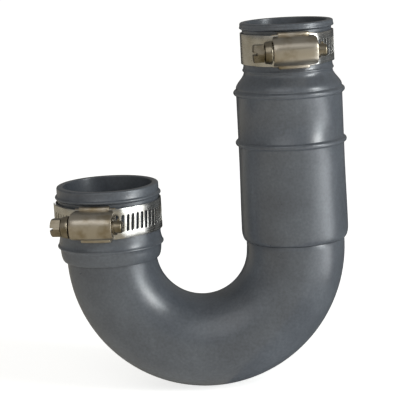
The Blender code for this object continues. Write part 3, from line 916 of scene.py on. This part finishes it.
def wormThread(end):
    turns = int((housing["length"] - screw["base"]) / band["pitch"])
    start = end - screw["base"] / 2 - turns * band["pitch"]
    foot = screw["rootRadius"] - screw["sunk"]
    ridge = [(-screw["base"] / 2, foot), (-screw["crest"] / 2, screw["wormRadius"])]
    ridge += [(-along, radius) for along, radius in ridge[::-1]]
    bm = bmesh.new()
    section = bm.faces.new([bm.verts.new((start + along, 0, radius)) for along, radius in ridge])
    bmesh.ops.spin(
        bm,
        geom=[section],
        cent=(0, 0, 0),
        axis=(1, 0, 0),
        dvec=(band["pitch"] / screw["threadSteps"], 0, 0),
        angle=math.tau * turns,
        steps=turns * screw["threadSteps"],
    )
    return helperObject("thread", bm)


def hexagonHead(headFoot, headEnd):
    middle = Matrix.Translation(((headFoot + headEnd) / 2, 0, 0))
    corner = screw["hexFlats"] / math.sqrt(3)
    bm = bmesh.new()
    bmesh.ops.create_cone(
        bm,
        cap_ends=True,
        segments=6,
        radius1=corner,
        radius2=corner,
        depth=screw["hexLength"],
        matrix=middle @ Matrix.Rotation(math.pi / 2, 4, "Y"),
    )
    hexagon = helperObject("hexagon", bm)
    # a turned solid takes the hexagon's corners off at both ends
    face = screw["hexFlats"] / 2
    clear = headEnd - 0.001  # well past the head's end
    wide, foot = corner + screw["cornerRoom"], screw["footChamfer"]
    lathe = [(0.0, clear), (face - 0.0012, clear), (face - screw["faceInset"], headEnd)]
    lathe += [(wide, headEnd + screw["faceChamfer"]), (wide, headFoot - foot)]
    lathe += [(corner - screw["cornerRoom"], headFoot + foot), (0.0, headFoot + foot)]
    latheCut = helperObject("latheCut", turned(lathe, screw["turnSteps"], axis=(1, 0, 0)))
    return helperObject("head", joined(hexagon, [(latheCut, "INTERSECT")]))


def makeScrew():
    half = housing["length"] / 2
    collarEnd = -half - screw["collarGap"]
    collarStart = collarEnd - screw["collarLength"]
    headFoot = collarStart - screw["neckLength"]
    headEnd = headFoot - screw["hexLength"]
    core = screwShank(headFoot, collarStart, collarEnd, half + screw["tipReach"])
    thread = wormThread(half + screw["threadPast"])
    head = hexagonHead(headFoot, headEnd)
    size = Matrix.Diagonal((2 * screw["slotDepth"], 2 * screw["hexFlats"], screw["slotWidth"], 1))
    bm = bmesh.new()
    bmesh.ops.create_cube(bm, size=1.0, matrix=Matrix.Translation((headEnd, 0, 0)) @ size)
    driveSlot = helperObject("driveSlot", bm)
    return joined(core, [(thread, "UNION"), (head, "UNION"), (driveSlot, "DIFFERENCE")])


# the clamp's levels, from the loop's inner face outwards
tabReach = housing["tabSideGap"] + housing["sheet"]
tailLevel = saddle["sheet"] + 2 * housing["layerGap"] + 1.5 * band["thickness"]
tongueLevel = saddle["sheet"] + housing["layerGap"] + band["thickness"] / 2
flangeLevel = tailLevel + band["thickness"] / 2 + housing["layerGap"] + housing["sheet"] / 2
wormLevel = tailLevel + band["thickness"] / 2 + screw["wormGap"] + screw["wormRadius"]
crownLevel = wormLevel + screw["wormRadius"] + housing["crownGap"] + housing["sheet"] / 2
archHalf = screw["wormRadius"] + housing["archSideRoom"]
saddleWallZ = band["width"] / 2 + 0.5 * saddle["sheet"] - saddle["flange"]

# turn is the clamp's own turn about its leg, and tailReach how far round the band's free end goes
clamps = {
    "inlet": {"mouth": inletMouth, "mouthZ": 0.0, "x": 0.0, "turn": 4.2, "tailReach": 54.0},
    "outlet": {
        "mouth": outletMouth,
        "mouthZ": outletMouthZ,
        "x": -trap["legSpacing"],
        "turn": -12.1,
        "tailReach": 82.0,
    },
}


def addClamp(end):
    print("clamp on the", end)
    spec = clamps[end]
    base = neckRadius(spec["mouth"]) + band["gap"]
    height = spec["mouthZ"] - bandTop(spec["mouth"]) - band["width"] / 2
    turn = Matrix.Rotation(math.radians(spec["turn"]), 4, "Z")
    place = Matrix.Translation((spec["x"], 0, height)) @ turn

    def addPiece(label, bm, material, body, node):
        bmesh.ops.transform(bm, matrix=place, verts=bm.verts)
        return finishPiece(bm, end + label, material, f"{end}_{body}", f"{end}_{node}")

    bm = makeBand(base)
    loop = addPiece("Band", bm, bandSteel, "clamp", "clamp_band")
    bm = makeTail(base, spec["tailReach"])
    tail = addPiece("BandTail", bm, bandSteel, "tail", "clamp_band_tail")
    for strip in (loop, tail):
        sheetFinish(strip, band["thicknessAtSlots"], band["edgeRound"], band["offset"])
    bm = makeSaddle(base)
    seat = addPiece("Saddle", bm, housingSteel, "clamp", "clamp_saddle")
    sheetFinish(seat, saddle["sheet"], saddle["edgeRound"])
    bm = makeHousing(base)
    arch = addPiece("Housing", bm, housingSteel, "clamp", "clamp_housing")
    sheetFinish(arch, housing["sheet"], housing["edgeRound"])
    bm = makeScrew()
    bmesh.ops.translate(bm, vec=(0, -(base + wormLevel), 0), verts=bm.verts)
    addPiece("Screw", bm, screwSteel, "screw", "clamp_screw")


addSoftPieces()
for end in clamps:
    addClamp(end)


print("studio")
studio = {
    "floorColour": "#F7F7F6",
    "floorGlow": 0.76,
    "floorDrop": 0.0004,
    "floorHalf": 12.0,
    "worldColour": "#E9E7E2",
    "worldStrength": 0.26,
}
# cards lie round the object and are seen only in reflections, as a studio's flags are: start is
# measured from the front towards the right, inner and outer from the object's middle, and a card
# rises by one for every slope outwards
cards = {
    "warm": {"colour": "#D6CDBA", "glow": 0.12, "start": -150, "sweep": 190},
    "cool": {"colour": "#7C7F82", "glow": 0.0, "start": 86, "sweep": 64},
    "back": {"colour": "#3A3C40", "glow": 0.0, "start": 150, "sweep": 60},
    "bright": {"colour": "#F4F7FA", "glow": 3.0, "start": 64, "sweep": 18, "inner": 0.16},
    "near": {"colour": "#8E9093", "glow": 0.0, "start": 40, "sweep": 46, "outer": 0.14},
}
cardShape = {"inner": 0.002, "outer": 6.0, "lift": 0.0002, "slope": 12, "steps": 36}
lights = {
    "key": {
        "azimuth": 57,
        "elevation": 20,
        "power": 0.66,
        "softness": 14,
        "tint": (1.0, 0.99, 0.97),
    },
    "tallSoftbox": {
        "azimuth": 61,
        "elevation": 17,
        "power": 6.6,
        "distance": 1.3,
        "size": (0.30, 0.90),
        "tint": (0.90, 0.97, 1.0),
    },
    "wideSoftbox": {
        "azimuth": -30,
        "elevation": 30,
        "power": 0.8,
        "distance": 1.3,
        "size": (1.2, 1.2),
        "tint": (1.0, 0.97, 0.90),
    },
    "fill": {
        "azimuth": -18,
        "elevation": 40,
        "power": 0.42,
        "softness": 50,
        "tint": (0.97, 0.98, 1.0),
    },
}


def paintedPaper(name, colour, glow, gloss):
    # matt painted paper or board: an even tone with hardly any gloss, lit a little from within
    material, tree, shader = newMaterial(name)
    shader.inputs["Base Color"].default_value = linearColour(colour)
    shader.inputs["Roughness"].default_value = 1.0
    shader.inputs["Specular IOR Level"].default_value = gloss
    shader.inputs["Emission Color"].default_value = linearColour(colour)
    shader.inputs["Emission Strength"].default_value = glow
    return material


def addFloor(floorZ):
    bm = bmesh.new()
    bmesh.ops.create_grid(bm, x_segments=1, y_segments=1, size=studio["floorHalf"])
    bmesh.ops.translate(bm, vec=(0, 0, floorZ - studio["floorDrop"]), verts=bm.verts)
    floor = meshObject("floor", bm)
    colour, glow = studio["floorColour"], studio["floorGlow"]
    material = paintedPaper("paintedBoardMatt", colour, glow, 0.0)
    material.cycles.emission_sampling = "NONE"  # so wide a glow renders cleaner unsampled
    floor.data.materials.append(material)


def addCard(name, floorZ):
    shape = {**cardShape, **cards[name]}
    bm = bmesh.new()
    edge = []
    for reach in (shape["inner"], shape["outer"]):
        edge.append(bm.verts.new((0, -reach, floorZ + shape["lift"] + reach / shape["slope"])))
    line = bm.edges.new(edge)
    start = Matrix.Rotation(math.radians(shape["start"]), 3, "Z")
    bmesh.ops.rotate(bm, cent=(0, 0, 0), matrix=start, verts=edge)
    bmesh.ops.spin(
        bm,
        geom=edge + [line],
        cent=(0, 0, 0),
        axis=(0, 0, 1),
        angle=math.radians(shape["sweep"]),
        steps=shape["steps"],
    )
    bmesh.ops.translate(bm, vec=(-trap["legSpacing"] / 2, 0, 0), verts=bm.verts)
    card = meshObject(name + "Card", bm)
    card.data.materials.append(paintedPaper(name + "Paper", shape["colour"], shape["glow"], 0.5))
    card.visible_camera = False
    card.visible_diffuse = False
    card.visible_shadow = False


# azimuth is measured from the front towards the right
def addLight(name, middle):
    spec = lights[name]
    isSun = "softness" in spec
    light = bpy.data.lights.new(name, "SUN" if isSun else "AREA")
    light.energy = spec["power"]
    light.color = spec["tint"]
    lamp = bpy.data.objects.new(name, light)
    around, up = math.radians(spec["azimuth"]), math.radians(spec["elevation"])
    flat = math.cos(up)
    towards = Vector((math.sin(around) * flat, -math.cos(around) * flat, math.sin(up)))
    if isSun:
        light.angle = math.radians(spec["softness"])
    else:
        light.shape = "RECTANGLE"
        light.size, light.size_y = spec["size"]
        lamp.location = middle + towards * spec["distance"]
    lamp.rotation_euler = towards.to_track_quat("Z", "Y").to_euler()
    bpy.context.scene.collection.objects.link(lamp)


def addWorld():
    world = bpy.data.worlds.new("studioWorld")
    world.use_nodes = True
    background = world.node_tree.nodes["Background"]
    background.inputs["Color"].default_value = linearColour(studio["worldColour"])
    background.inputs["Strength"].default_value = studio["worldStrength"]
    bpy.context.scene.world = world


view = {
    "target": (-0.0448, 0.0, -0.0834),
    "distance": 0.803,
    "elevation": 10.6,
    "roll": -3.1,
    "lens": 151.1,  # in mm, on a 36 mm sensor
    "sensor": 36.0,
    "farthest": 60.0,
}


def addCamera():
    up, roll = math.radians(view["elevation"]), math.radians(view["roll"])
    back = Vector((0, -math.cos(up), math.sin(up)))
    right = Vector((1, 0, 0))
    above = back.cross(right)
    turnedRight = right * math.cos(roll) + above * math.sin(roll)
    turnedUp = above * math.cos(roll) - right * math.sin(roll)
    turn = Matrix((turnedRight, turnedUp, back)).transposed().to_4x4()
    camera = bpy.data.objects.new("camera", bpy.data.cameras.new("camera"))
    camera.data.lens = view["lens"]
    camera.data.sensor_width = view["sensor"]
    camera.data.clip_end = view["farthest"]
    place = Vector(view["target"]) + back * view["distance"]
    camera.matrix_world = Matrix.Translation(place) @ turn
    bpy.context.scene.collection.objects.link(camera)
    bpy.context.scene.camera = camera


low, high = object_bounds()
addFloor(low[2])
for name in cards:
    addCard(name, low[2])
for name in lights:
    addLight(name, (Vector(low) + Vector(high)) / 2)
addWorld()
addCamera()
bpy.context.scene.view_settings.view_transform = "Standard"
